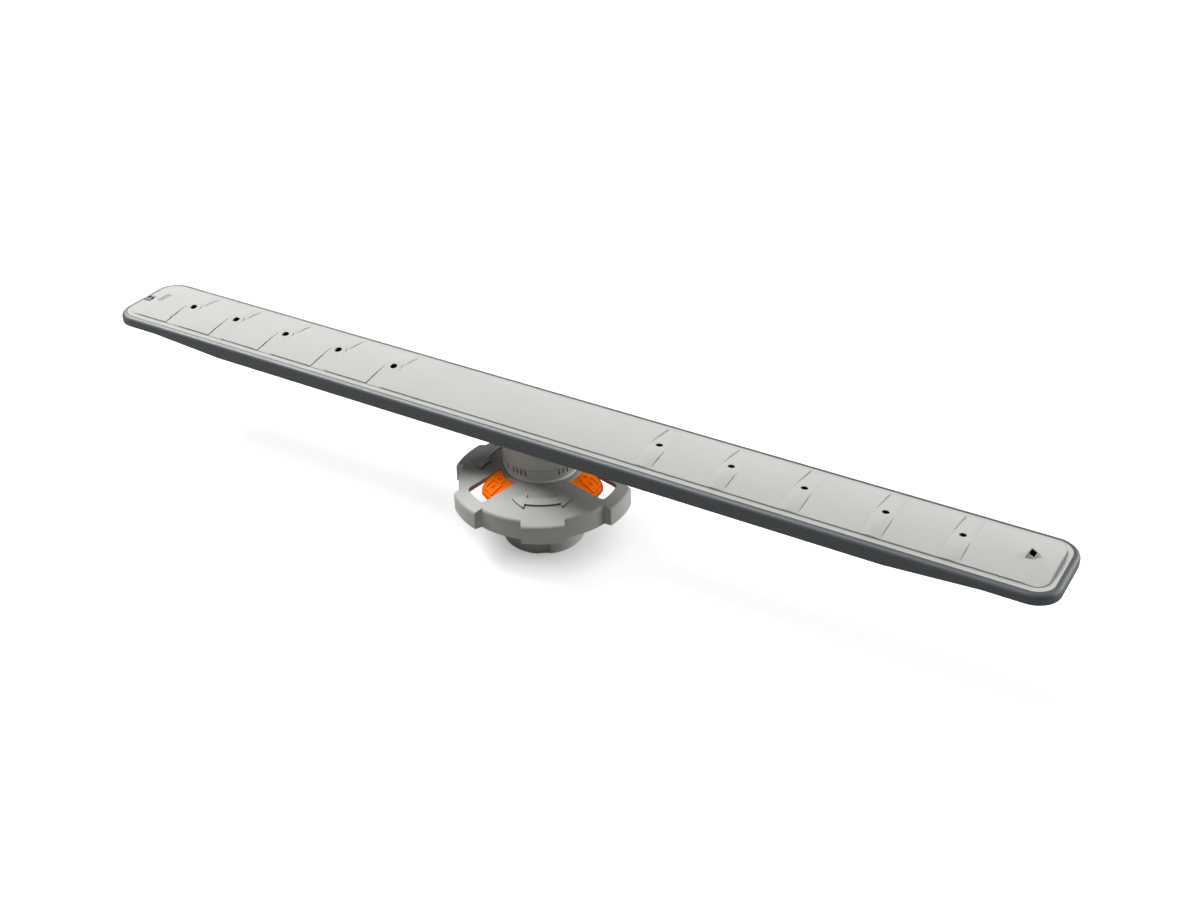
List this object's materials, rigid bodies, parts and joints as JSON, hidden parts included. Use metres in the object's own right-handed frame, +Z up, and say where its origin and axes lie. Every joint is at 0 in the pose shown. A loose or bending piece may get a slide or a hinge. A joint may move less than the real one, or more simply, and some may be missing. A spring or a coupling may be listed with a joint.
{
  "type": "dishwasher spray arm",
  "caption": "Lower dishwasher spray arm: a long two-shell arm with leaning jets on a spinning hub, over a fixed inlet socket with a twist-lock knob and an orange lock ring.",
  "frame": {"origin": "centre of the inlet socket's mouth, on the flat foot the part stands on", "axes": "+Z up along the arm's axis of rotation, +X along the arm towards the wing with the tall end nozzle"},
  "size_m": [0.4696, 0.079, 0.0675],
  "materials": {
    "cover_grey": "satin",
    "tray_grey": "satin",
    "lid_grey": "matte",
    "hub_grey": "satin",
    "orange": "satin",
    "bush_plastic": "satin",
    "washer_plastic": "satin",
    "steel": "satin",
    "magnet_steel": "satin",
    "rubber": "matte"
  },
  "bodies": {
    "socket": {"inlet_socket": "hub_grey", "inlet_neck": "hub_grey", "neck_sleeve": "steel", "neck_nut": "bush_plastic", "lower_thrust_washer": "washer_plastic", "neck_seal_ring": "rubber", "inlet_gasket": "rubber"},
    "arm": {"arm_cover": "cover_grey", "arm_tray": "tray_grey", "sensor_magnet": "magnet_steel", "magnet_lid": "lid_grey", "hub_bowl": "hub_grey", "hub_collar": "hub_grey", "bearing_bush": "bush_plastic", "upper_thrust_washer": "washer_plastic"},
    "knob": {"lock_knob": "hub_grey", "lock_ring": "orange"}
  },
  "joints": [
    {"name": "arm_spin", "type": "hinge", "parent": "socket", "child": "arm", "pos_m": [0, 0, 0.043], "axis": [0, 0, 1], "continuous": true},
    {"name": "knob_turn", "type": "hinge", "parent": "socket", "child": "knob", "pos_m": [0, 0, 0.03], "axis": [0, 0, 1], "range_deg": [0, 45]}
  ]
}
